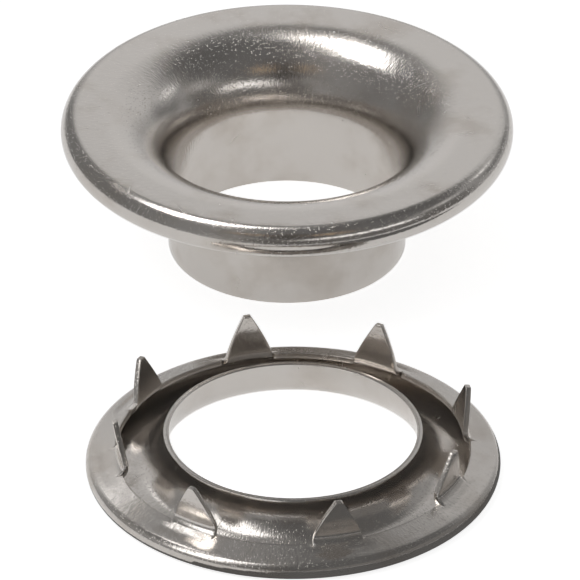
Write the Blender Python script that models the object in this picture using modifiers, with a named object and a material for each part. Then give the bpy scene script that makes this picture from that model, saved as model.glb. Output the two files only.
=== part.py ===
"""A two-part grommet eyelet for canvas: a rolled rim grommet and its spur washer.

Both pieces are pressed from one gauge of sheet. The grommet stands on the end
of its barrel with the flange up. The spur washer lies in front of it on its
smooth face, spurs up. Lengths are in metres and +Z is up.
"""

import math

import bmesh
import bpy

MM = 0.001

# Sheet that both pieces are pressed from
SHEET = 0.32 * MM

# Grommet, from the end of its barrel up to the flange and out to the rolled rim
BARREL_RADIUS = 7.1 * MM
BARREL_LENGTH = 4.6 * MM
FUNNEL_RADIUS = 4.2 * MM
FLANGE_FLAT = 1.52 * MM
RIM_BORE_RADIUS = 0.68 * MM
RIM_TURN = 240.0

# Spur washer, from the neck that takes the barrel out to the rolled-over rim
BARREL_CLEARANCE = 0.17 * MM
NECK_LIP = 0.57 * MM
NECK_FILLET = 2.15 * MM
FACE_FLAT = 2.15 * MM
EDGE_BEND = 0.26 * MM
RETURN_WIDTH = 1.17 * MM
RETURN_SLOPE = 17.0

# Spurs, struck from the cut edge of the washer's rolled-over rim, with a nick at each end of
# their base. The angles are those of their middles, a few degrees off even as pressed.
SPUR_ANGLES = (13.0, 61.0, 105.0, 148.5, 188.0, 236.0, 284.5, 333.0)
SPUR_WIDTH = 3.05 * MM
SPUR_RISE = 2.75 * MM
SPUR_TIP_WIDTH = 0.4 * MM
SPUR_BEND = 0.52 * MM
SPUR_LEAN = 9.5
SPUR_BULGE = 1.3
NICK_DEPTH = 0.25 * MM
NICK_WIDTH = 0.1 * MM

# Lay-out on the surface that both pieces stand on
FLANGE_OVERHANG = 0.15 * MM
WASHER_OFFSET = 0.36 * MM

# Radii and heights that follow
BORE_RADIUS = BARREL_RADIUS - SHEET
RIM_RADIUS = RIM_BORE_RADIUS + SHEET
FLANGE_RADIUS = BORE_RADIUS + FUNNEL_RADIUS + FLANGE_FLAT + RIM_RADIUS
GROMMET_HEIGHT = BARREL_LENGTH + FUNNEL_RADIUS
NECK_RADIUS = BARREL_RADIUS + BARREL_CLEARANCE
NECK_HEIGHT = NECK_FILLET + NECK_LIP
EDGE_RADIUS = EDGE_BEND + SHEET
WASHER_RADIUS = NECK_RADIUS + NECK_FILLET + FACE_FLAT + EDGE_RADIUS
CUT_EDGE_RADIUS = WASHER_RADIUS - EDGE_RADIUS - RETURN_WIDTH
SPUR_ROOT_RADIUS = CUT_EDGE_RADIUS + NICK_DEPTH
SPUR_HALF_ANGLE = SPUR_WIDTH / 2 / SPUR_ROOT_RADIUS

# Facets
GROMMET_STEPS = 72
OUTER_RIM_STEPS = 5
UNDER_RIM_STEPS = 8
FUNNEL_STEPS = 9
NECK_STEPS = 5
UPPER_EDGE_STEPS = 2
LOWER_EDGE_STEPS = 3
STEPS_PER_SPUR = 5
STEPS_BETWEEN_SPURS = 8
SPUR_BEND_STEPS = 4
SPUR_FACE_STEPS = 4

MERGE = 0.000001
SMOOTH_ANGLE = math.radians(40.0)

NICKEL = (0.57, 0.54, 0.51, 1.0)


def arc(centre, radius, start, end, steps):
    """Points of an arc in the (r, z) plane, angles in degrees from +r."""
    points = []
    for step in range(steps + 1):
        angle = math.radians(start + (end - start) * step / steps)
        points.append((centre[0] + radius * math.cos(angle), centre[1] + radius * math.sin(angle)))
    return points


def grommet_profile():
    """The face of the sheet that shows: up the bore, over the flange, round the rim."""
    funnel_centre = (BORE_RADIUS + FUNNEL_RADIUS, BARREL_LENGTH)
    rim_centre = (FLANGE_RADIUS - RIM_RADIUS, GROMMET_HEIGHT - RIM_RADIUS)
    points = [(BORE_RADIUS, 0.0)]
    points += arc(funnel_centre, FUNNEL_RADIUS, 180.0, 90.0, FUNNEL_STEPS)
    points += arc(rim_centre, RIM_RADIUS, 90.0, 0.0, OUTER_RIM_STEPS)
    points += arc(rim_centre, RIM_RADIUS, 0.0, 90.0 - RIM_TURN, UNDER_RIM_STEPS)[1:]
    return points


def return_height(radius):
    """Height of the rim's sloping return leg at a radius."""
    slope = math.radians(RETURN_SLOPE)
    foot = WASHER_RADIUS - EDGE_RADIUS + EDGE_RADIUS * math.sin(slope)
    return EDGE_RADIUS * (1 + math.cos(slope)) + (foot - radius) * math.tan(slope)


def washer_profile():
    """The face of the sheet that shows, from the spurs' root round to the neck's lip."""
    edge_centre = (WASHER_RADIUS - EDGE_RADIUS, EDGE_RADIUS)
    neck_centre = (NECK_RADIUS + NECK_FILLET, NECK_FILLET)
    points = [(SPUR_ROOT_RADIUS, return_height(SPUR_ROOT_RADIUS))]
    points += arc(edge_centre, EDGE_RADIUS, 90.0 - RETURN_SLOPE, 0.0, UPPER_EDGE_STEPS)
    points += arc(edge_centre, EDGE_RADIUS, 0.0, -90.0, LOWER_EDGE_STEPS)[1:]
    points += arc(neck_centre, NECK_FILLET, 270.0, 180.0, NECK_STEPS)
    points.append((NECK_RADIUS, NECK_HEIGHT))
    return points


def spur_profile(root):
    """Rows of a spur's outer face, bent up from its root: (r, z, half width)."""
    slope = math.radians(RETURN_SLOPE)
    lean = math.radians(SPUR_LEAN)
    bend_centre = (root[0] + SPUR_BEND * math.sin(slope), root[1] + SPUR_BEND * math.cos(slope))
    bend = arc(bend_centre, SPUR_BEND, 270.0 - RETURN_SLOPE, 180.0 - SPUR_LEAN, SPUR_BEND_STEPS)
    foot = bend[-1]
    tip_height = return_height(CUT_EDGE_RADIUS) + SPUR_RISE
    face_rise = tip_height - foot[1]
    line = bend[1:]
    for step in range(1, SPUR_FACE_STEPS + 1):
        rise = face_rise * step / SPUR_FACE_STEPS
        line.append((foot[0] + rise * math.tan(lean), foot[1] + rise))
    rows = []
    for radius, height in line:
        share = (height - root[1]) / (tip_height - root[1])
        narrowing = (SPUR_WIDTH - SPUR_TIP_WIDTH) / 2 * share ** SPUR_BULGE
        rows.append((radius, height, SPUR_WIDTH / 2 - narrowing))
    return rows


def new_material(name, roughness):
    """Nickel plate on brass."""
    material = bpy.data.materials.new(name)
    material.use_nodes = True
    shader = material.node_tree.nodes["Principled BSDF"]
    shader.inputs["Base Color"].default_value = NICKEL
    shader.inputs["Metallic"].default_value = 1.0
    shader.inputs["Roughness"].default_value = roughness
    material.diffuse_color = NICKEL
    return material


def new_object(name, mesh, location, material, collection):
    """Put a mesh in the scene as a named sub-part."""
    part = bpy.data.objects.new(name, mesh)
    part.location = location
    mesh.materials.append(material)
    collection.objects.link(part)
    return part


def give_thickness(part):
    """Thicken an open pressed surface to the sheet, on its hidden side, and shade it."""
    solidify = part.modifiers.new("sheet", "SOLIDIFY")
    solidify.thickness = SHEET
    solidify.offset = -1.0
    solidify.use_even_offset = True
    solidify.use_quality_normals = True
    solidify.use_rim = True
    surface = part.data
    part.data = bpy.data.meshes.new_from_object(part.evaluated_get(bpy.context.evaluated_depsgraph_get()))
    part.data.name = surface.name
    part.modifiers.clear()
    part.data.shade_smooth()
    part.data.set_sharp_from_angle(angle=SMOOTH_ANGLE)
    bpy.data.meshes.remove(surface)


def make_grommet(collection, location):
    """Flange, rolled rim, funnel and barrel, turned from one profile."""
    profile = grommet_profile()
    mesh = bpy.data.meshes.new("grommet")
    edges = [(index, index + 1) for index in range(len(profile) - 1)]
    mesh.from_pydata([(radius, 0.0, height) for radius, height in profile], edges, [])
    part = new_object("grommet", mesh, location, new_material("grommet_nickel", 0.16), collection)
    turn = part.modifiers.new("turn", "SCREW")
    turn.axis = "Z"
    turn.angle = 2 * math.pi
    turn.steps = GROMMET_STEPS
    turn.render_steps = GROMMET_STEPS
    turn.use_merge_vertices = True
    turn.merge_threshold = MERGE
    give_thickness(part)
    return part


def turn_profile(mesh_builder, profile, steps):
    """Spin a profile about Z into an open surface."""
    ring = [mesh_builder.verts.new((radius, 0.0, height)) for radius, height in profile]
    line = [mesh_builder.edges.new(pair) for pair in zip(ring, ring[1:])]
    bmesh.ops.spin(
        mesh_builder,
        geom=ring + line,
        cent=(0.0, 0.0, 0.0),
        axis=(0.0, 0.0, 1.0),
        angle=2 * math.pi,
        steps=steps,
        use_merge=True,
    )
    bmesh.ops.remove_doubles(mesh_builder, verts=mesh_builder.verts, dist=MERGE)


def spur_middles():
    """Angle of each spur's middle about the washer's axis, in radians."""
    return [math.radians(angle) for angle in SPUR_ANGLES]


def angle_from(vert, middle):
    """Signed angle of a vertex about Z, counted from a spur's middle."""
    return math.remainder(math.atan2(vert.co.y, vert.co.x) - middle, 2 * math.pi)


def space_spurs(mesh_builder):
    """Shift the turned facets so that each spur's own facets span its base."""
    middles = spur_middles()
    pitch = 2 * math.pi / len(middles)
    even_half_angle = pitch / 2 * STEPS_PER_SPUR / (STEPS_PER_SPUR + STEPS_BETWEEN_SPURS)
    for vert in mesh_builder.verts:
        radius = math.hypot(vert.co.x, vert.co.y)
        turned = math.atan2(vert.co.y, vert.co.x) - even_half_angle
        spur = round(turned / pitch)
        offset = turned - spur * pitch
        middle = middles[spur % len(middles)]
        if abs(offset) <= even_half_angle:
            shifted = offset * SPUR_HALF_ANGLE / even_half_angle
        else:
            beside = middles[(spur + (1 if offset > 0 else -1)) % len(middles)]
            halfway = abs(math.remainder(beside - middle, 2 * math.pi)) / 2
            share = (abs(offset) - even_half_angle) / (pitch / 2 - even_half_angle)
            shifted = math.copysign(SPUR_HALF_ANGLE + share * (halfway - SPUR_HALF_ANGLE), offset)
        vert.co.x = radius * math.cos(middle + shifted)
        vert.co.y = radius * math.sin(middle + shifted)


def extrude_row(mesh_builder, edges):
    """Extrude edges into a new row and return its vertices and the edges along it."""
    made = bmesh.ops.extrude_edge_only(mesh_builder, edges=edges)["geom"]
    verts = [item for item in made if isinstance(item, bmesh.types.BMVert)]
    row_verts = set(verts)
    along = [
        item for item in made
        if isinstance(item, bmesh.types.BMEdge) and row_verts.issuperset(item.verts)
    ]
    return verts, along


def raise_spur(mesh_builder, root_edges, rows, middle):
    """Draw a spur up from its root edges, row by row, narrowing to the tip."""
    half_angle = SPUR_HALF_ANGLE
    edges = root_edges
    for radius, height, half_width in rows:
        verts, edges = extrude_row(mesh_builder, edges)
        for vert in verts:
            share = angle_from(vert, middle) / half_angle
            angle = middle + share * half_width / radius
            vert.co = (radius * math.cos(angle), radius * math.sin(angle), height)
        half_angle = half_width / radius


def extend_return(mesh_builder, root_edges):
    """Carry the rim in to its cut edge between the spurs, clear of them by the nicks."""
    height = return_height(CUT_EDGE_RADIUS)
    verts, _ = extrude_row(mesh_builder, root_edges)
    for vert in verts:
        middle = min(spur_middles(), key=lambda angle: abs(angle_from(vert, angle)))
        offset = angle_from(vert, middle)
        if abs(offset) < SPUR_HALF_ANGLE + MERGE / SPUR_ROOT_RADIUS:
            offset += math.copysign(NICK_WIDTH / CUT_EDGE_RADIUS, offset)
        angle = middle + offset
        vert.co = (CUT_EDGE_RADIUS * math.cos(angle), CUT_EDGE_RADIUS * math.sin(angle), height)


def make_spur_washer(collection, location):
    """Neck, face, rolled-over rim and spurs, all of one sheet."""
    profile = washer_profile()
    root = profile[0]
    rows = spur_profile(root)
    builder = bmesh.new()
    turn_profile(builder, profile, len(SPUR_ANGLES) * (STEPS_PER_SPUR + STEPS_BETWEEN_SPURS))
    space_spurs(builder)
    between = [
        edge for edge in builder.edges
        if edge.is_boundary and all(abs(vert.co.z - root[1]) < MERGE for vert in edge.verts)
    ]
    half_angle = SPUR_HALF_ANGLE + MERGE / SPUR_ROOT_RADIUS
    for middle in spur_middles():
        root_edges = [
            edge for edge in between
            if all(abs(angle_from(vert, middle)) < half_angle for vert in edge.verts)
        ]
        between = [edge for edge in between if edge not in root_edges]
        raise_spur(builder, root_edges, rows, middle)
    extend_return(builder, between)
    mesh = bpy.data.meshes.new("spur_washer")
    builder.to_mesh(mesh)
    builder.free()
    part = new_object("spur_washer", mesh, location, new_material("washer_nickel", 0.2), collection)
    give_thickness(part)
    return part


def main():
    """Clear the scene and build both pieces on one surface."""
    for old in list(bpy.data.objects):
        bpy.data.objects.remove(old, do_unlink=True)
    collection = bpy.data.collections.new("grommet_eyelet")
    bpy.context.scene.collection.children.link(collection)
    length = 2 * FLANGE_RADIUS + 2 * WASHER_RADIUS - FLANGE_OVERHANG
    make_grommet(collection, (0.0, length / 2 - FLANGE_RADIUS, 0.0))
    make_spur_washer(collection, (WASHER_OFFSET, WASHER_RADIUS - length / 2, 0.0))


main()
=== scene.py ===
"""Looks of a rolled rim grommet eyelet in nickel plate: the flanged grommet and its spur washer.

Each piece is one pressed sheet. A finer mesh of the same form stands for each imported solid,
with smooth bends, broken edges and the press marks that the solids leave out, and one plated
finish with draw ripple, dimples, specks, pits and hairlines covers both. Lengths are in metres,
angles in degrees.
"""

import logging
import math
from dataclasses import dataclass, field
from enum import Enum

import bmesh
import bpy
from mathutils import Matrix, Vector


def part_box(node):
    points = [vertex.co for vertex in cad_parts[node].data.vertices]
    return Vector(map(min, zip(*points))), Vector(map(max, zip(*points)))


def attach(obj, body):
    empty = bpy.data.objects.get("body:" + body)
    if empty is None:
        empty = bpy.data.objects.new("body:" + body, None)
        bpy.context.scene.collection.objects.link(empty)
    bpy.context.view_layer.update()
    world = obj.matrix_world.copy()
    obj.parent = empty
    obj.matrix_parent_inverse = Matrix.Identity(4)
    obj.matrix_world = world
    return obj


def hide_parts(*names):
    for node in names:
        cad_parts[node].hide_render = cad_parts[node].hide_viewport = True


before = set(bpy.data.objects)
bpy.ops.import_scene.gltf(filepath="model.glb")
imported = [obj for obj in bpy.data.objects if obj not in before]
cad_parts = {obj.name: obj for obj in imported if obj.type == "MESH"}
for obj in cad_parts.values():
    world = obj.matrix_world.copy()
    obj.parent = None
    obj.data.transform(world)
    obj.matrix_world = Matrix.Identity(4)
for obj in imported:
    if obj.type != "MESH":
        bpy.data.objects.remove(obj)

LOG = logging.getLogger("grommet_eyelet")
MM = 0.001
# Points nearer than MERGE are one. The two others are the slack on a height and an angle.
MERGE = 1e-7
SAME_HEIGHT = 1e-6
EDGE_SLACK = 1.001
# What a warmth of 1 adds to red and takes from blue, as a share of the tone.
TINT = 0.12
# Watts for each square metre of an area lamp that give it a tone of 1.
WATTS_PER_TONE = 4.0
WHITE = (1.0, 1.0, 1.0, 1.0)

Point = tuple[float, float]
Colour = tuple[float, float, float, float]
Edges = list[bmesh.types.BMEdge]
Verts = list[bmesh.types.BMVert]
Inputs = dict[str | int, object]
Socket = bpy.types.NodeSocket


def arc(centre: Point, radius: float, start: float, end: float, steps: int) -> list[Point]:
    """Points of an arc in the (radius, height) plane.

    Args:
        centre: the arc's centre.
        radius: its radius.
        start: first angle, from the +r direction.
        end: last angle.
        steps: number of chords.

    Returns:
        steps + 1 points from start to end.
    """
    points = []
    for step in range(steps + 1):
        angle = math.radians(start + (end - start) * step / steps)
        across, up = radius * math.cos(angle), radius * math.sin(angle)
        points.append((centre[0] + across, centre[1] + up))
    return points


def straight(start: Point, end: Point, steps: int) -> list[Point]:
    """Points that divide a straight run evenly, without its first one.

    Args:
        start: where the run starts.
        end: where it ends.
        steps: number of parts.

    Returns:
        steps points, the last of them end.
    """
    across, up = end[0] - start[0], end[1] - start[1]
    return [
        (start[0] + across * step / steps, start[1] + up * step / steps)
        for step in range(1, steps + 1)
    ]


def smooth_share(value: float) -> float:
    """A share from 0 to 1, eased at both ends."""
    share = min(1.0, max(0.0, value))
    return share * share * (3.0 - 2.0 * share)


@dataclass
class PressedSheet:
    """A round piece pressed from one sheet, modelled by its outer face and then thickened.

    The piece's centre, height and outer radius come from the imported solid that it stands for.
    """

    node: str
    sheet: float = 0.32 * MM
    edge_break: float = 0.055 * MM
    edge_segments: int = 2
    edge_angle: float = 50.0
    centre: Vector = field(init=False)
    height: float = field(init=False)
    radius: float = field(init=False)

    def __post_init__(self) -> None:
        """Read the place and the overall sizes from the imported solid."""
        low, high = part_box(self.node)
        self.centre = Vector(((low.x + high.x) / 2, (low.y + high.y) / 2, 0.0))
        self.height = high.z
        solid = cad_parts[self.node].data
        self.radius = max(self.from_axis(vert.co) for vert in solid.vertices)

    def from_axis(self, point: Vector) -> float:
        """Distance of a point in the frame from the piece's axis."""
        return math.hypot(point.x - self.centre.x, point.y - self.centre.y)

    @staticmethod
    def turn(builder: bmesh.types.BMesh, profile: list[Point], steps: int) -> None:
        """Spin a profile about the axis into an open surface.

        Args:
            builder: the mesh that gets the surface.
            profile: the outer face's section, as (radius, height).
            steps: number of facets round the axis.
        """
        ring = [builder.verts.new((radius, 0.0, height)) for radius, height in profile]
        line = [builder.edges.new(pair) for pair in zip(ring, ring[1:])]
        bmesh.ops.spin(
            builder,
            geom=ring + line,
            cent=(0.0, 0.0, 0.0),
            axis=(0.0, 0.0, 1.0),
            angle=2 * math.pi,
            steps=steps,
            use_merge=True,
        )
        bmesh.ops.remove_doubles(builder, verts=builder.verts, dist=MERGE)

    def thicken(self, builder: bmesh.types.BMesh, name: str) -> bpy.types.Object:
        """Give the surface the sheet's thickness, break its cut edges and put it in the scene.

        Args:
            builder: the open outer face, with its faces pointing out. It is freed.
            name: the piece's name.

        Returns:
            The finished piece, its place in its mesh.
        """
        bmesh.ops.translate(builder, verts=builder.verts, vec=self.centre)
        mesh = bpy.data.meshes.new(name)
        builder.to_mesh(mesh)
        builder.free()
        mesh.shade_smooth()
        piece = bpy.data.objects.new(name, mesh)
        bpy.context.scene.collection.objects.link(piece)
        wall = piece.modifiers.new("sheet", "SOLIDIFY")
        wall.thickness = self.sheet
        wall.offset = -1.0
        wall.use_even_offset = True
        wall.use_quality_normals = True
        wall.use_rim = True
        edges = piece.modifiers.new("broken edges", "BEVEL")
        edges.width = self.edge_break
        edges.segments = self.edge_segments
        edges.limit_method = "ANGLE"
        edges.angle_limit = math.radians(self.edge_angle)
        normals = piece.modifiers.new("face normals", "WEIGHTED_NORMAL")
        normals.keep_sharp = True
        graph = bpy.context.evaluated_depsgraph_get()
        finished = bpy.data.meshes.new_from_object(piece.evaluated_get(graph))
        finished.name = name
        piece.modifiers.clear()
        piece.data = finished
        bpy.data.meshes.remove(mesh)
        return piece


@dataclass
class Grommet(PressedSheet):
    """Barrel, funnel, flat flange and rolled rim."""

    node: str = "grommet"
    barrel_radius: float = 7.1 * MM
    funnel_radius: float = 4.2 * MM
    rim_bore_radius: float = 0.68 * MM
    rim_turn: float = 240.0
    steps: int = 288
    barrel_steps: int = 10
    funnel_steps: int = 32
    flange_steps: int = 4
    rim_steps: int = 44

    def profile(self) -> list[Point]:
        """The section of the face that shows.

        Returns:
            Its points, from the barrel's end up the bore, over the flange and round the rim.
        """
        bore = self.barrel_radius - self.sheet
        rim_radius = self.rim_bore_radius + self.sheet
        funnel_centre = (bore + self.funnel_radius, self.height - self.funnel_radius)
        rim_centre = (self.radius - rim_radius, self.height - rim_radius)
        points = [(bore, 0.0)]
        points += straight((bore, 0.0), (bore, funnel_centre[1]), self.barrel_steps)
        points += arc(funnel_centre, self.funnel_radius, 180.0, 90.0, self.funnel_steps)[1:]
        points += straight(points[-1], (rim_centre[0], self.height), self.flange_steps)
        points += arc(rim_centre, rim_radius, 90.0, 90.0 - self.rim_turn, self.rim_steps)[1:]
        return points

    def build(self) -> bpy.types.Object:
        """Turn the profile and thicken it.

        Returns:
            The finished piece.
        """
        builder = bmesh.new()
        self.turn(builder, self.profile(), self.steps)
        return self.thicken(builder, "rolled_rim_grommet")


@dataclass
class SpurWasher(PressedSheet):
    """Raised neck, smooth face, rolled-over rim, and the spurs bent up out of its cut edge."""

    node: str = "spur_washer"
    neck_radius: float = 7.27 * MM
    neck_fillet: float = 2.15 * MM
    neck_lip: float = 0.57 * MM
    edge_bend: float = 0.26 * MM
    return_width: float = 1.17 * MM
    return_slope: float = 17.0
    spur_angles: tuple[float, ...] = (13.0, 61.0, 105.0, 148.5, 188.0, 236.0, 284.5, 333.0)
    spur_width: float = 3.05 * MM
    spur_rise: float = 2.75 * MM
    spur_tip_width: float = 0.4 * MM
    spur_bend: float = 0.52 * MM
    spur_lean: float = 9.5
    spur_bulge: float = 1.3
    nick_depth: float = 0.25 * MM
    nick_width: float = 0.1 * MM
    press_depth: float = 0.05 * MM
    press_reach: float = 0.85 * MM
    press_end: float = 1.35
    press_fade: float = 0.45
    steps_per_spur: int = 12
    steps_between: int = 22
    return_steps: int = 6
    edge_steps: int = 18
    flat_steps: int = 3
    fillet_steps: int = 18
    lip_steps: int = 3
    bend_steps: int = 8
    face_steps: int = 14
    nick_rows: int = 2

    @property
    def edge_radius(self) -> float:
        """Outer radius of the bend at the washer's edge."""
        return self.edge_bend + self.sheet

    @property
    def cut_radius(self) -> float:
        """Radius of the rolled-over rim's cut edge."""
        return self.radius - self.edge_radius - self.return_width

    @property
    def root_radius(self) -> float:
        """Radius at which the spurs' bend starts, past the cut edge by the nicks' depth."""
        return self.cut_radius + self.nick_depth

    @property
    def half_angle(self) -> float:
        """Half the angle that a spur's base spans, in radians."""
        return self.spur_width / 2 / self.root_radius

    @property
    def middles(self) -> list[float]:
        """Angle of each spur's middle about the axis, in radians."""
        return [math.radians(angle) for angle in self.spur_angles]

    @property
    def pitch(self) -> float:
        """Mean angle from spur to spur, in radians."""
        return 2 * math.pi / len(self.spur_angles)

    def on_return(self, radius: float) -> Point:
        """A point of the sloping return leg's outer face.

        Args:
            radius: how far from the axis the point is.

        Returns:
            The point.
        """
        slope = math.radians(self.return_slope)
        top = self.edge_radius * (1 + math.cos(slope))
        foot = self.radius - self.edge_radius + self.edge_radius * math.sin(slope)
        return (radius, top + (foot - radius) * math.tan(slope))

    def profile(self) -> list[Point]:
        """The outer face's section.

        Returns:
            Its points, from the spurs' root round the edge to the neck's lip.
        """
        edge_centre = (self.radius - self.edge_radius, self.edge_radius)
        neck_centre = (self.neck_radius + self.neck_fillet, self.neck_fillet)
        lip = (self.neck_radius, self.neck_fillet + self.neck_lip)
        root = self.on_return(self.root_radius)
        edge_start = 90.0 - self.return_slope
        edge = arc(edge_centre, self.edge_radius, edge_start, -90.0, self.edge_steps)
        points = [root]
        points += straight(root, edge[0], self.return_steps)
        points += edge[1:]
        points += straight(edge[-1], (neck_centre[0], 0.0), self.flat_steps)
        points += arc(neck_centre, self.neck_fillet, 270.0, 180.0, self.fillet_steps)[1:]
        points += straight(points[-1], lip, self.lip_steps)
        return points

    def spur_rows(self) -> list[tuple[float, float, float]]:
        """The rows of a spur's outer face above its root.

        Returns:
            Each row's radius, height and half width.
        """
        slope = math.radians(self.return_slope)
        lean = math.radians(self.spur_lean)
        root = self.on_return(self.root_radius)
        bend_centre = (
            root[0] + self.spur_bend * math.sin(slope),
            root[1] + self.spur_bend * math.cos(slope),
        )
        bend_start, bend_end = 270.0 - self.return_slope, 180.0 - self.spur_lean
        line = arc(bend_centre, self.spur_bend, bend_start, bend_end, self.bend_steps)
        tip_height = self.on_return(self.cut_radius)[1] + self.spur_rise
        face_rise = tip_height - line[-1][1]
        tip = (line[-1][0] + face_rise * math.tan(lean), tip_height)
        line += straight(line[-1], tip, self.face_steps)
        rows = []
        for radius, height in line[1:]:
            share = (height - root[1]) / (tip_height - root[1])
            narrowing = (self.spur_width - self.spur_tip_width) / 2 * share ** self.spur_bulge
            rows.append((radius, height, self.spur_width / 2 - narrowing))
        return rows

    def space_facets(self, builder: bmesh.types.BMesh) -> None:
        """Shift the turned facets so that a spur's own facets span its base.

        Args:
            builder: the turned surface.
        """
        middles = self.middles
        spur_share = self.steps_per_spur / (self.steps_per_spur + self.steps_between)
        even_half = self.pitch / 2 * spur_share
        for vert in builder.verts:
            radius = math.hypot(vert.co.x, vert.co.y)
            turned = math.atan2(vert.co.y, vert.co.x) - even_half
            spur = round(turned / self.pitch)
            offset = turned - spur * self.pitch
            middle = middles[spur % len(middles)]
            if abs(offset) <= even_half:
                shifted = offset * self.half_angle / even_half
            else:
                beside = middles[(spur + (1 if offset > 0 else -1)) % len(middles)]
                halfway = abs(math.remainder(beside - middle, 2 * math.pi)) / 2
                share = (abs(offset) - even_half) / (self.pitch / 2 - even_half)
                shifted = self.half_angle + share * (halfway - self.half_angle)
                shifted = math.copysign(shifted, offset)
            vert.co.x = radius * math.cos(middle + shifted)
            vert.co.y = radius * math.sin(middle + shifted)

    def from_spur(self, vert: bmesh.types.BMVert) -> tuple[int, float]:
        """Find the spur that a vertex is nearest to.

        Args:
            vert: the vertex.

        Returns:
            The spur's number and the signed angle from its middle, in radians.
        """
        angle = math.atan2(vert.co.y, vert.co.x)
        offsets = [math.remainder(angle - middle, 2 * math.pi) for middle in self.middles]
        spur = min(range(len(offsets)), key=lambda number: abs(offsets[number]))
        return spur, offsets[spur]

    @staticmethod
    def new_row(builder: bmesh.types.BMesh, edges: Edges) -> tuple[Verts, Edges]:
        """Extrude a run of edges into a new row.

        Args:
            builder: the mesh.
            edges: the edges to extrude.

        Returns:
            The new row's vertices and the edges along it.
        """
        made = bmesh.ops.extrude_edge_only(builder, edges=edges)["geom"]
        verts = [item for item in made if isinstance(item, bmesh.types.BMVert)]
        sides = [item for item in made if isinstance(item, bmesh.types.BMEdge)]
        row = set(verts)
        return verts, [edge for edge in sides if row.issuperset(edge.verts)]

    def raise_spur(self, builder: bmesh.types.BMesh, spur: int, edges: Edges) -> None:
        """Draw a spur up from its root edges, row by row, narrowing to the tip.

        Args:
            builder: the mesh.
            spur: the spur's number.
            edges: its root edges.
        """
        middle = self.middles[spur]
        half_angle = self.half_angle
        for radius, height, half_width in self.spur_rows():
            verts, edges = self.new_row(builder, edges)
            for vert in verts:
                angle = middle + self.from_spur(vert)[1] / half_angle * half_width / radius
                vert.co = (radius * math.cos(angle), radius * math.sin(angle), height)
            half_angle = half_width / radius

    def extend_return(self, builder: bmesh.types.BMesh, edges: Edges) -> None:
        """Carry the return leg in to its cut edge between the spurs, clear of them by the nicks.

        Args:
            builder: the mesh.
            edges: the root ring's edges between the spurs.
        """
        gap = self.pitch / 2 - self.half_angle
        for row in range(1, self.nick_rows + 1):
            depth = row / self.nick_rows
            verts, edges = self.new_row(builder, edges)
            radius, height = self.on_return(self.root_radius - self.nick_depth * depth)
            for vert in verts:
                spur, offset = self.from_spur(vert)
                ease = 1 - smooth_share((abs(offset) - self.half_angle) / gap)
                angle = self.middles[spur] + offset
                angle += math.copysign(self.nick_width * depth / radius * ease, offset)
                vert.co = (radius * math.cos(angle), radius * math.sin(angle), height)

    def press_under_spurs(self, builder: bmesh.types.BMesh) -> None:
        """Sink the return leg a little just outside each spur's root.

        Across, a mark fades out over press_fade and ends at press_end, both counted in half
        widths of a spur from its middle. Outwards it ends at press_reach.

        Args:
            builder: the turned and spaced surface.
        """
        for vert in builder.verts:
            if vert.co.z < self.edge_radius:
                continue
            offset = abs(self.from_spur(vert)[1]) / self.half_angle
            across = smooth_share((self.press_end - offset) / self.press_fade)
            along = (math.hypot(vert.co.x, vert.co.y) - self.root_radius) / self.press_reach
            depth = math.sin(math.pi * min(1.0, max(0.0, along))) ** 2
            vert.co.z -= self.press_depth * across * depth

    def root_edges(self, builder: bmesh.types.BMesh) -> tuple[list[Edges], Edges]:
        """Sort the edges of the spurs' root ring.

        Args:
            builder: the turned, spaced and pressed surface.

        Returns:
            The edges of each spur's base, by its number, and those between the spurs.
        """
        height = self.on_return(self.root_radius)[1]
        reach = self.half_angle * EDGE_SLACK
        bases = [[] for _ in self.spur_angles]
        between = []
        for edge in builder.edges:
            if not edge.is_boundary:
                continue
            if any(abs(vert.co.z - height) >= SAME_HEIGHT for vert in edge.verts):
                continue
            if all(abs(self.from_spur(vert)[1]) < reach for vert in edge.verts):
                bases[self.from_spur(edge.verts[0])[0]].append(edge)
            else:
                between.append(edge)
        return bases, between

    def build(self) -> bpy.types.Object:
        """Turn the washer, raise its spurs and thicken it.

        Returns:
            The finished piece.
        """
        builder = bmesh.new()
        facets = len(self.spur_angles) * (self.steps_per_spur + self.steps_between)
        self.turn(builder, self.profile(), facets)
        self.space_facets(builder)
        self.press_under_spurs(builder)
        bases, between = self.root_edges(builder)
        for spur, edges in enumerate(bases):
            self.raise_spur(builder, spur, edges)
        self.extend_return(builder, between)
        return self.thicken(builder, "nickel_spur_washer")


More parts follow.
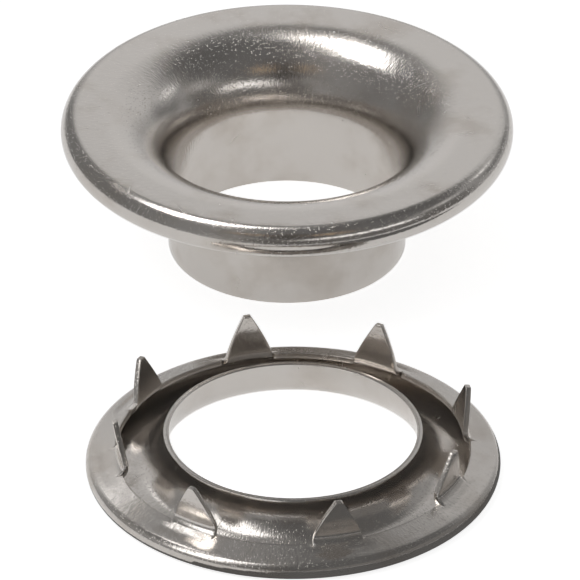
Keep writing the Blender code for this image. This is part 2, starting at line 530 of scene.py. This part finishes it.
class Sockets:
    """Adds nodes to a tree and joins them, so that a finish reads as a list of steps."""

    def __init__(self, tree: bpy.types.NodeTree) -> None:
        """Keep the tree that gets the nodes."""
        self.tree = tree

    def add(self, kind: str, inputs: Inputs | None = None, **settings: object) -> bpy.types.Node:
        """Add a node.

        Args:
            kind: the node's type.
            inputs: values or sockets for its inputs, by name or number.
            **settings: its properties.

        Returns:
            The node.
        """
        node = self.tree.nodes.new(kind)
        for name, value in settings.items():
            setattr(node, name, value)
        for name, value in (inputs or {}).items():
            if isinstance(value, bpy.types.NodeSocket):
                self.tree.links.new(value, node.inputs[name])
            else:
                node.inputs[name].default_value = value
        return node

    def math(self, operation: str, first: float | Socket, second: float | Socket = 0.0) -> Socket:
        """One step of arithmetic on two values or sockets."""
        node = self.add("ShaderNodeMath", {0: first, 1: second}, operation=operation)
        return node.outputs[0]

    def ramp(
        self, value: Socket, low: float, high: float, start: float = 0.0, end: float = 1.0
    ) -> Socket:
        """Take a value smoothly from one range to another, held at both ends.

        Args:
            value: the value.
            low: where the first range starts.
            high: where it ends.
            start: what low becomes.
            end: what high becomes.

        Returns:
            The new value.
        """
        ends = {"From Min": low, "From Max": high, "To Min": start, "To Max": end}
        node = self.add(
            "ShaderNodeMapRange", {"Value": value, **ends}, interpolation_type="SMOOTHSTEP"
        )
        return node.outputs["Result"]

    def noise(self, place: Socket, scale: float | Socket, **inputs: float) -> Socket:
        """A noise pattern's value at a place."""
        node = self.add("ShaderNodeTexNoise", {"Vector": place, "Scale": scale, **inputs})
        return node.outputs["Fac"]

    def mix(self, share: Socket, first: Colour | Socket, second: Colour) -> Socket:
        """A colour between two, by share."""
        inputs = {"Factor": share, "A": first, "B": second}
        return self.add("ShaderNodeMix", inputs, data_type="RGBA").outputs["Result"]


class EffectGroup:
    """A node group with named inputs and one output, made once and placed in each material."""

    name = "effect"
    vector = "Position"
    values: tuple[str, ...] = ()
    output = "Mask"

    def tree(self) -> bpy.types.NodeTree:
        """The group's tree, made at its first use.

        Returns:
            The tree.
        """
        made = bpy.data.node_groups.get(self.name)
        if made:
            return made
        made = bpy.data.node_groups.new(self.name, "ShaderNodeTree")
        new_socket = made.interface.new_socket
        new_socket(self.vector, in_out="INPUT", socket_type="NodeSocketVector")
        for label in self.values:
            new_socket(label, in_out="INPUT", socket_type="NodeSocketFloat")
        new_socket(self.output, in_out="OUTPUT", socket_type="NodeSocketFloat")
        sockets = Sockets(made)
        given = sockets.add("NodeGroupInput").outputs
        sockets.add("NodeGroupOutput", {self.output: self.wire(sockets, given)})
        return made

    def wire(self, sockets: Sockets, given: bpy.types.NodeOutputs) -> Socket:
        """Join the group's own nodes.

        Args:
            sockets: adds nodes to the group.
            given: the group's inputs.

        Returns:
            What the group puts out.
        """
        raise NotImplementedError

    def place(self, sockets: Sockets, inputs: dict[str, float | Socket]) -> Socket:
        """Put the group in a material with its own values and give its output."""
        return sockets.add("ShaderNodeGroup", inputs, node_tree=self.tree()).outputs[self.output]


class DrawRipple(EffectGroup):
    """Fine ripple left by drawing the sheet, stretched along the draw."""

    name = "draw ripple"
    values = ("Scale", "Stretch")
    output = "Height"
    mean_radius = 9.0 * MM

    def wire(self, sockets: Sockets, given: bpy.types.NodeOutputs) -> Socket:
        """Read the position as turn, radius and height, and stretch noise along the last two.

        Args:
            sockets: adds nodes to the group.
            given: the group's inputs.

        Returns:
            The ripple's height.
        """
        x, y, z = sockets.add("ShaderNodeSeparateXYZ", {0: given["Position"]}).outputs
        squares = [sockets.math("MULTIPLY", side, side) for side in (x, y)]
        radius = sockets.math("SQRT", sockets.math("ADD", *squares))
        around = sockets.math("MULTIPLY", sockets.math("ARCTAN2", y, x), self.mean_radius)
        along_radius = sockets.math("DIVIDE", radius, given["Stretch"])
        along_height = sockets.math("DIVIDE", z, given["Stretch"])
        place = sockets.add("ShaderNodeCombineXYZ", {0: around, 1: along_radius, 2: along_height})
        return sockets.noise(place.outputs[0], given["Scale"], Detail=2.0, Roughness=0.55)


class OrangePeel(EffectGroup):
    """Small dimples of plating over stretched sheet."""

    name = "orange peel"
    values = ("Scale",)
    output = "Height"

    def wire(self, sockets: Sockets, given: bpy.types.NodeOutputs) -> Socket:
        """Take the dimples from a soft, warped noise."""
        return sockets.noise(given["Position"], given["Scale"], Detail=2.0, Distortion=1.0)


class BentSheet(EffectGroup):
    """How much the sheet slopes: least where it is level or upright, and 1 on the bends."""

    name = "bent sheet"
    vector = "Normal"
    flat = 0.02
    bent = 0.45
    least = 0.12

    def wire(self, sockets: Sockets, given: bpy.types.NodeOutputs) -> Socket:
        """Take four times the squared height of the normal times what is left of one.

        Args:
            sockets: adds nodes to the group.
            given: the group's inputs.

        Returns:
            The mask.
        """
        height = sockets.add("ShaderNodeSeparateXYZ", {0: given["Normal"]}).outputs[2]
        square = sockets.math("MULTIPLY", height, height)
        rest = sockets.math("SUBTRACT", 4.0, sockets.math("MULTIPLY", square, 4.0))
        slope = sockets.math("MULTIPLY", square, rest)
        return sockets.ramp(slope, self.flat, self.bent, self.least, 1.0)


class PlatingPits(EffectGroup):
    """Scattered pinholes and specks in the plating."""

    name = "plating pits"
    values = ("Scale", "Size", "Share")
    core = 0.4

    def wire(self, sockets: Sockets, given: bpy.types.NodeOutputs) -> Socket:
        """Keep a share of the cells of a Voronoi pattern, each as a soft dot.

        Args:
            sockets: adds nodes to the group.
            given: the group's inputs.

        Returns:
            The mask.
        """
        pattern = {"Vector": given["Position"], "Scale": given["Scale"]}
        cells = sockets.add("ShaderNodeTexVoronoi", pattern).outputs
        kind = sockets.add("ShaderNodeSeparateColor", {0: cells["Color"]}).outputs[0]
        kept = sockets.math("LESS_THAN", kind, given["Share"])
        dot = sockets.math("DIVIDE", cells["Distance"], given["Size"])
        return sockets.math("MULTIPLY", kept, sockets.ramp(dot, self.core, 1.0, 1.0, 0.0))


class Hairlines(EffectGroup):
    """Short handling scratches that lie in every direction."""

    name = "hairlines"
    values = ("Scale", "Width")
    warp = 1.4
    level = 0.5
    patch_scale = 1.7
    patch_edge = (0.60, 0.70)

    def wire(self, sockets: Sockets, given: bpy.types.NodeOutputs) -> Socket:
        """Draw thin level lines of a warped noise, and keep them in the patches of another.

        Args:
            sockets: adds nodes to the group.
            given: the group's inputs.

        Returns:
            The mask.
        """
        where, scale = given["Position"], given["Scale"]
        warped = sockets.noise(where, scale, Detail=0.0, Distortion=self.warp)
        off = sockets.math("ABSOLUTE", sockets.math("SUBTRACT", warped, self.level))
        line = sockets.ramp(sockets.math("DIVIDE", off, given["Width"]), 0.0, 1.0, 1.0, 0.0)
        patches = sockets.noise(where, sockets.math("MULTIPLY", scale, self.patch_scale))
        return sockets.math("MULTIPLY", line, sockets.ramp(patches, *self.patch_edge))


@dataclass(frozen=True)
class NickelPlate:
    """Bright nickel plate over drawn brass sheet.

    The draw ripple, dimples and specks give highlights on the bends their grainy borders, and
    pits, hairlines and a faint warm film break up the flat faces. Scales are counted per metre.
    """

    name: str
    metallic: float = 0.92
    colour: Colour = (0.57, 0.54, 0.51, 1.0)
    film_colour: Colour = (0.50, 0.46, 0.42, 1.0)
    film_scale: float = 210.0
    film_edge: tuple[float, float] = (0.42, 0.72)
    roughness: float = 0.14
    film_roughness: float = 0.24
    mark_roughness: float = 0.12
    ripple_scale: float = 9000.0
    ripple_stretch: float = 3.0
    ripple_depth: float = 0.009 * MM
    peel_scale: float = 6800.0
    peel_depth: float = 0.005 * MM
    speck_scale: float = 7500.0
    speck_size: float = 0.38
    speck_share: float = 0.5
    speck_depth: float = 0.009 * MM
    pit_scale: float = 1500.0
    pit_size: float = 0.16
    pit_share: float = 0.25
    pit_depth: float = 0.004 * MM
    hairline_scale: float = 260.0
    hairline_width: float = 0.03
    hairline_depth: float = 0.00015 * MM

    def material(self, centre: Vector) -> bpy.types.Material:
        """Make the finish for a piece.

        Args:
            centre: the piece's axis, from which the draw ripple is counted.

        Returns:
            The material.
        """
        material = bpy.data.materials.new(self.name)
        material.use_nodes = True
        sockets = Sockets(material.node_tree)
        where = sockets.add("ShaderNodeTexCoord").outputs["Object"]
        pits = PlatingPits().place(sockets, {
            "Position": where,
            "Scale": self.pit_scale,
            "Size": self.pit_size,
            "Share": self.pit_share,
        })
        scratches = Hairlines().place(sockets, {
            "Position": where, "Scale": self.hairline_scale, "Width": self.hairline_width
        })
        film = sockets.noise(where, self.film_scale, Detail=4.0, Roughness=0.6)
        film_share = sockets.ramp(film, *self.film_edge)
        filmed = sockets.ramp(film_share, 0.0, 1.0, self.roughness, self.film_roughness)
        marks = sockets.math("MAXIMUM", pits, scratches)
        marked = sockets.math("MULTIPLY", marks, self.mark_roughness)
        finish = {
            "Base Color": sockets.mix(film_share, self.colour, self.film_colour),
            "Roughness": sockets.math("ADD", filmed, marked),
            "Normal": self.relief(sockets, where, centre, pits, scratches),
        }
        shader = material.node_tree.nodes["Principled BSDF"]
        for name, socket in finish.items():
            material.node_tree.links.new(socket, shader.inputs[name])
        shader.inputs["Metallic"].default_value = self.metallic
        return material

    def relief(
        self, sockets: Sockets, where: Socket, centre: Vector, pits: Socket, scratches: Socket
    ) -> Socket:
        """Lay the plating's fine relief over the sheet, one kind on the other.

        Args:
            sockets: adds nodes to the material.
            where: the place on the piece.
            centre: the piece's axis.
            pits: the pits' mask.
            scratches: the hairlines' mask.

        Returns:
            The surface's normal.
        """
        moved = sockets.add("ShaderNodeMapping", {"Vector": where, "Location": tuple(-centre)})
        on_axis = moved.outputs[0]
        facing = sockets.add("ShaderNodeNewGeometry").outputs["Normal"]
        bends = BentSheet().place(sockets, {"Normal": facing})
        ripple = DrawRipple().place(sockets, {
            "Position": on_axis, "Scale": self.ripple_scale, "Stretch": self.ripple_stretch
        })
        peel = OrangePeel().place(sockets, {"Position": on_axis, "Scale": self.peel_scale})
        specks = PlatingPits().place(sockets, {
            "Position": where,
            "Scale": self.speck_scale,
            "Size": self.speck_size,
            "Share": self.speck_share,
        })
        layers = (
            (ripple, self.ripple_depth, 1.0, False),
            (peel, self.peel_depth, bends, False),
            (specks, self.speck_depth, bends, False),
            (pits, self.pit_depth, 1.0, True),
            (scratches, self.hairline_depth, 1.0, True),
        )
        normal = None
        for height, depth, strength, sunk in layers:
            inputs = {"Height": height, "Distance": depth, "Strength": strength}
            if normal:
                inputs["Normal"] = normal
            normal = sockets.add("ShaderNodeBump", inputs, invert=sunk).outputs[0]
        return normal


def tinted(tone: float, warmth: float) -> Colour:
    """A tone as a colour, the more brownish the higher its warmth."""
    return (tone * (1 + TINT * warmth), tone, tone * (1 - TINT * warmth), 1.0)


def light_only_material(name: str) -> bpy.types.Material:
    """Make a material that has no shader yet and that no light sampling looks for.

    Args:
        name: its name.

    Returns:
        The material.
    """
    material = bpy.data.materials.new(name)
    material.use_nodes = True
    nodes = material.node_tree.nodes
    nodes.remove(nodes["Principled BSDF"])
    material.cycles.emission_sampling = "NONE"
    return material


def cover(material: bpy.types.Material, shader: Socket) -> None:
    """Give a material its surface."""
    output = material.node_tree.nodes["Material Output"]
    material.node_tree.links.new(shader, output.inputs["Surface"])


def put_on_stage(
    builder: bmesh.types.BMesh, name: str, material: bpy.types.Material
) -> bpy.types.Object:
    """Make a stage prop.

    Args:
        builder: its mesh. It is freed.
        name: its name.
        material: its material.

    Returns:
        The prop.
    """
    mesh = bpy.data.meshes.new(name)
    builder.to_mesh(mesh)
    builder.free()
    mesh.materials.append(material)
    prop = bpy.data.objects.new(name, mesh)
    bpy.context.scene.collection.objects.link(prop)
    return prop


def show_to_metal_only(prop: bpy.types.Object) -> None:
    """Hide a stage prop from all rays but mirrored ones.

    Args:
        prop: the prop.
    """
    prop.visible_camera = False
    prop.visible_diffuse = False
    prop.visible_shadow = False
    prop.visible_transmission = False


class Target(Enum):
    """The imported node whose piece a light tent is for."""

    GROMMET = "grommet"
    WASHER = "spur_washer"


@dataclass(frozen=True)
class TentPanel:
    """A soft-edged panel of a light tent, seen from the pieces.

    Azimuth 0 is the back and 90 the right, in degrees as are the sizes. A tone of 1 is white,
    and a warmth of 1 a little brownish.
    """

    azimuth: float
    elevation: float
    width: float
    height: float
    tone: float
    softness: float
    warmth: float = 0.0

    def mask(self, sockets: Sockets, where: Socket) -> Socket:
        """Where on the tent's wall the panel is.

        Args:
            sockets: adds nodes to the tent's material.
            where: the direction of the place on the wall.

        Returns:
            1 on the panel, 0 beside it.
        """
        turn = (math.radians(self.elevation), 0.0, -math.radians(self.azimuth))
        level = sockets.add(
            "ShaderNodeVectorRotate",
            {"Vector": where, "Rotation": turn},
            rotation_type="EULER_XYZ",
            invert=True,
        )
        x, y, z = sockets.add("ShaderNodeSeparateXYZ", {0: level.outputs[0]}).outputs
        sides = []
        for angle, size in (
            (sockets.math("ARCTAN2", x, y), self.width),
            (sockets.math("ARCSINE", z), self.height),
        ):
            half = math.radians(size / 2)
            soft = math.radians(self.softness)
            off = sockets.math("ABSOLUTE", angle)
            sides.append(sockets.ramp(off, half - soft / 2, half + soft / 2, 1.0, 0.0))
        return sockets.math("MULTIPLY", *sides)


@dataclass(frozen=True)
class LightTent:
    """A half-round light tent with panels on its wall, which only one piece mirrors.

    A see-through tent can stand inside another one. In metal that is mirrored in metal, the wall
    is brighter by the second tone. The wall ends a drop below height 0.
    """

    target: Target
    radius: float
    tone: float
    second_tone: float
    panels: tuple[TentPanel, ...]
    see_through: bool = False
    drop: float = 0.04 * MM
    sides: int = 96

    def build(self, piece: bpy.types.Object) -> None:
        """Put the tent up.

        Args:
            piece: the piece that mirrors it.
        """
        builder = bmesh.new()
        bmesh.ops.create_uvsphere(
            builder, u_segments=self.sides, v_segments=self.sides // 2, radius=self.radius
        )
        bmesh.ops.bisect_plane(
            builder,
            geom=builder.verts[:] + builder.edges[:] + builder.faces[:],
            plane_co=(0, 0, -self.drop),
            plane_no=(0, 0, -1),
            clear_outer=True,
        )
        tent = put_on_stage(builder, f"light_tent_{self.target.value}", self.material())
        show_to_metal_only(tent)
        mirrored = bpy.data.collections.new(f"mirrors_{tent.name}")
        mirrored.objects.link(piece)
        tent.light_linking.receiver_collection = mirrored

    def material(self) -> bpy.types.Material:
        """Paint the panels on the tent's wall, in order.

        Returns:
            The wall's material.
        """
        material = light_only_material(f"tent wall {self.target.value}")
        sockets = Sockets(material.node_tree)
        place = sockets.add("ShaderNodeTexCoord").outputs["Object"]
        where = sockets.add("ShaderNodeVectorMath", {0: place}, operation="NORMALIZE").outputs[0]
        colour = tinted(self.tone, 0.0)
        for panel in self.panels:
            paint = tinted(panel.tone, panel.warmth)
            colour = sockets.mix(panel.mask(sockets, where), colour, paint)
        bounces = sockets.add("ShaderNodeLightPath").outputs["Glossy Depth"]
        strength = sockets.ramp(bounces, 1.0, 2.0, 1.0, self.second_tone)
        glow = {"Color": colour, "Strength": strength}
        wall = sockets.add("ShaderNodeEmission", glow).outputs[0]
        if self.see_through:
            clear = sockets.add("ShaderNodeBsdfTransparent").outputs[0]
            wall = sockets.add("ShaderNodeAddShader", {0: wall, 1: clear}).outputs[0]
        cover(material, wall)
        return material


@dataclass(frozen=True)
class PaintedShadowCard:
    """A dark card of painted shadow cut round the washer on the floor, which only the metal sees.

    It runs round the washer's axis from one azimuth on to another, 0 at the back and 90 right,
    and lies a drop below height 0, just over the floor.
    """

    outer: float
    start: float
    end: float
    inner: float = 11.3 * MM
    tone: float = 0.14
    drop: float = 0.01 * MM
    steps: int = 48

    def build(self, centre: Vector) -> None:
        """Cut the card and lay it on the floor.

        Args:
            centre: the washer's axis.
        """
        builder = bmesh.new()
        start = math.radians(self.start)
        away = Vector((math.sin(start), math.cos(start), 0.0))
        ends = [builder.verts.new(centre + away * reach) for reach in (self.inner, self.outer)]
        bmesh.ops.spin(
            builder,
            geom=[*ends, builder.edges.new(ends)],
            cent=centre,
            axis=(0.0, 0.0, 1.0),
            angle=-math.radians(self.end - self.start),
            steps=self.steps,
        )
        # Its dim glow is painted shadow, the washer's shadow on the floor as the metal mirrors
        # it.
        material = light_only_material("painted shadow card")
        glow = {"Color": WHITE, "Strength": self.tone}
        cover(material, Sockets(material.node_tree).add("ShaderNodeEmission", glow).outputs[0])
        card = put_on_stage(builder, "painted_shadow_card", material)
        card.location.z = -self.drop
        show_to_metal_only(card)


@dataclass
class Studio:
    """Floor, light tents, cards of painted shadow, softbox, world and camera."""

    floor_size: float = 6.0
    floor_drop: float = 0.02 * MM
    floor_colour: Colour = (0.8, 0.8, 0.8, 1.0)
    floor_roughness: float = 0.9
    floor_glow: float = 0.83
    mirrored_floor_glow: float = 0.65
    world_tone: float = 0.25
    camera_elevation: float = 32.0
    camera_distance: float = 1.0
    camera_aim: tuple[float, float, float] = (0.000179, 0.00647, 0.0)
    camera_reach: tuple[float, float] = (0.01, 20.0)
    lens: float = 1041.5
    sensor: float = 36.0
    lamp_size: float = 0.3
    lamp_place: tuple[float, float, float] = (-0.22, -0.12, 0.45)
    lamp_tone: float = 0.8
    # Painted shadow of the washer on the floor round it, as the metal mirrors it.
    # A card's numbers are its outer radius and the azimuths at which it starts and ends.
    painted_floor_shadows: tuple[PaintedShadowCard, ...] = (
        PaintedShadowCard(50.0 * MM, 68.0, 188.0),
        PaintedShadowCard(14.3 * MM, 188.0, 194.0),
        PaintedShadowCard(13.5 * MM, 194.0, 201.0),
        PaintedShadowCard(12.9 * MM, 201.0, 210.0),
        PaintedShadowCard(12.3 * MM, 210.0, 428.0),
    )
    # A panel's numbers are azimuth, elevation, width, height, tone, softness and warmth.
    tents: tuple[LightTent, ...] = (
        LightTent(
            Target.GROMMET,
            radius=0.14,
            tone=0.46,
            second_tone=1.6,
            see_through=True,
            panels=(
                TentPanel(91, 73, 107, 59, 0.17, 4),
                TentPanel(140, 19, 120, 41, 0.17, 19, 0.2),
                TentPanel(-85, 34, 88, 106, 0.24, 18),
                TentPanel(-45, 38, 44, 58, 0.24, 8),
                TentPanel(-2, 23, 26, 32, 0.87, 23),
                TentPanel(26, 32, 43, 24, 0.83, 16),
                TentPanel(51, 41, 29, 56, 0.14, 8),
                TentPanel(146, 32, 60, 6, 2.6, 8),
                TentPanel(40, 33, 39, 17, 0.74, 25),
                TentPanel(-70, 72, 70, 16, 0.6, 12),
                TentPanel(-40, 64, 25, 13, 9.0, 5),
                TentPanel(-127, 42, 36, 74, 0.31, 29),
                TentPanel(-183, 45, 15, 53, 0.05, 28, 1.0),
                TentPanel(150, 56, 12, 12, 0.38, 6, 2.4),
                TentPanel(-154, 57, 10, 12, 0.38, 6, 2.4),
                TentPanel(53, 34, 7, 7, 1.5, 5),
                TentPanel(86, 36, 12, 5, 0.9, 5),
            ),
        ),
        LightTent(
            Target.WASHER,
            radius=0.141,
            tone=0.37,
            second_tone=2.2,
            panels=(
                TentPanel(89, 58, 158, 64, 0.14, 16),
                TentPanel(93, 14, 191, 27, 0.22, 4, 0.2),
                TentPanel(-35, -5, 41, 94, 0.81, 30),
                TentPanel(-29, 38, 45, 10, 0.88, 7),
                TentPanel(32, 10, 52, 76, 0.65, 4),
                TentPanel(38, 38, 9, 55, 0.78, 30),
                TentPanel(62, 27, 30, 35, 0.41, 20),
                TentPanel(-100, 69, 32, 5, 2.2, 4),
                TentPanel(-100, 54, 32, 41, 0.18, 30),
                TentPanel(-131, 45, 24, 42, 3.0, 8),
                TentPanel(-71, 64, 14, 7, 3.5, 5),
                TentPanel(-41, 43, 9, 5, 2.2, 5),
                TentPanel(-169, 16, 38, 6, 0.05, 12, 1.0),
            ),
        ),
    )

    def floor(self) -> None:
        """Lay a pale floor that keeps the pieces' soft shadow."""
        builder = bmesh.new()
        bmesh.ops.create_grid(builder, x_segments=1, y_segments=1, size=self.floor_size / 2)
        material = bpy.data.materials.new("white card")
        material.use_nodes = True
        shader = material.node_tree.nodes["Principled BSDF"]
        shader.inputs["Base Color"].default_value = self.floor_colour
        shader.inputs["Roughness"].default_value = self.floor_roughness
        shader.inputs["Specular IOR Level"].default_value = 0.0
        sockets = Sockets(material.node_tree)
        ray = sockets.add("ShaderNodeLightPath").outputs
        mirrored = sockets.math("MAXIMUM", ray["Is Glossy Ray"], ray["Is Transmission Ray"])
        strength = sockets.math(
            "ADD",
            sockets.math("MULTIPLY", ray["Is Camera Ray"], self.floor_glow),
            sockets.math("MULTIPLY", mirrored, self.mirrored_floor_glow),
        )
        glow = sockets.add("ShaderNodeEmission", {"Color": WHITE, "Strength": strength})
        both = sockets.add("ShaderNodeAddShader", {0: shader.outputs[0], 1: glow.outputs[0]})
        cover(material, both.outputs[0])
        put_on_stage(builder, "floor", material).location.z = -self.floor_drop

    def lamp(self) -> None:
        """Hang a plain square softbox over the table, which the metal doesn't mirror."""
        data = bpy.data.lights.new("softbox", "AREA")
        data.size = self.lamp_size
        data.energy = WATTS_PER_TONE * self.lamp_tone * self.lamp_size ** 2
        lamp = bpy.data.objects.new("softbox", data)
        lamp.location = self.lamp_place
        lamp.rotation_euler = (-lamp.location).to_track_quat("-Z", "Y").to_euler()
        lamp.visible_camera = False
        lamp.visible_glossy = False
        bpy.context.scene.collection.objects.link(lamp)

    def world(self) -> None:
        """Light softly from all round, with a white background for what looks past the floor."""
        world = bpy.data.worlds.new("studio")
        bpy.context.scene.world = world
        world.use_nodes = True
        sockets = Sockets(world.node_tree)
        background = world.node_tree.nodes["Background"]
        ray = sockets.add("ShaderNodeLightPath").outputs
        mirrored = sockets.math("MAXIMUM", ray["Is Glossy Ray"], ray["Is Transmission Ray"])
        seen = sockets.math("MAXIMUM", ray["Is Camera Ray"], mirrored)
        strength = sockets.ramp(seen, 0.0, 1.0, self.world_tone, 1.0)
        background.inputs["Color"].default_value = WHITE
        world.node_tree.links.new(strength, background.inputs["Strength"])

    def camera(self) -> None:
        """Look down on both pieces from the front with a long lens."""
        elevation = math.radians(self.camera_elevation)
        back = Vector((0.0, -math.cos(elevation), math.sin(elevation)))
        data = bpy.data.cameras.new("camera")
        data.sensor_width = self.sensor
        data.lens = self.lens
        data.clip_start, data.clip_end = self.camera_reach
        camera = bpy.data.objects.new("camera", data)
        camera.location = Vector(self.camera_aim) + back * self.camera_distance
        camera.rotation_euler = (-back).to_track_quat("-Z", "Y").to_euler()
        bpy.context.scene.collection.objects.link(camera)
        bpy.context.scene.camera = camera

    def build(self, pieces: dict[Target, bpy.types.Object], washer_axis: Vector) -> None:
        """Make the whole studio.

        Args:
            pieces: the finished pieces by the node that they stand for.
            washer_axis: where the washer's axis meets the floor.
        """
        self.floor()
        for tent in self.tents:
            tent.build(pieces[tent.target])
        # Lay the painted shadow round the washer.
        for card in self.painted_floor_shadows:
            card.build(washer_axis)
        self.lamp()
        self.world()
        self.camera()


def dress(piece: bpy.types.Object, sheet: PressedSheet, finish: NickelPlate) -> bpy.types.Object:
    """Give a piece its finish and tie it to the frame.

    Args:
        piece: the finished mesh.
        sheet: what it was built from.
        finish: its plating.

    Returns:
        The piece.
    """
    piece.data.materials.clear()
    piece.data.materials.append(finish.material(sheet.centre))
    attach(piece, "root")
    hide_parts(sheet.node)
    faces = len(piece.data.polygons)
    LOG.info("%s: %d faces, radius %.2f mm", piece.name, faces, sheet.radius / MM)
    return piece


def main() -> None:
    """Build both pieces and the studio."""
    logging.basicConfig(level=logging.INFO, format="%(name)s: %(message)s")
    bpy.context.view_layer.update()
    grommet = Grommet()
    washer = SpurWasher()
    pieces = {
        Target.GROMMET: dress(grommet.build(), grommet, NickelPlate("grommet nickel")),
        Target.WASHER: dress(washer.build(), washer, NickelPlate("washer nickel", metallic=0.89)),
    }
    Studio().build(pieces, washer.centre)
    bpy.context.scene.view_settings.view_transform = "Standard"


if __name__ == "__main__":
    main()
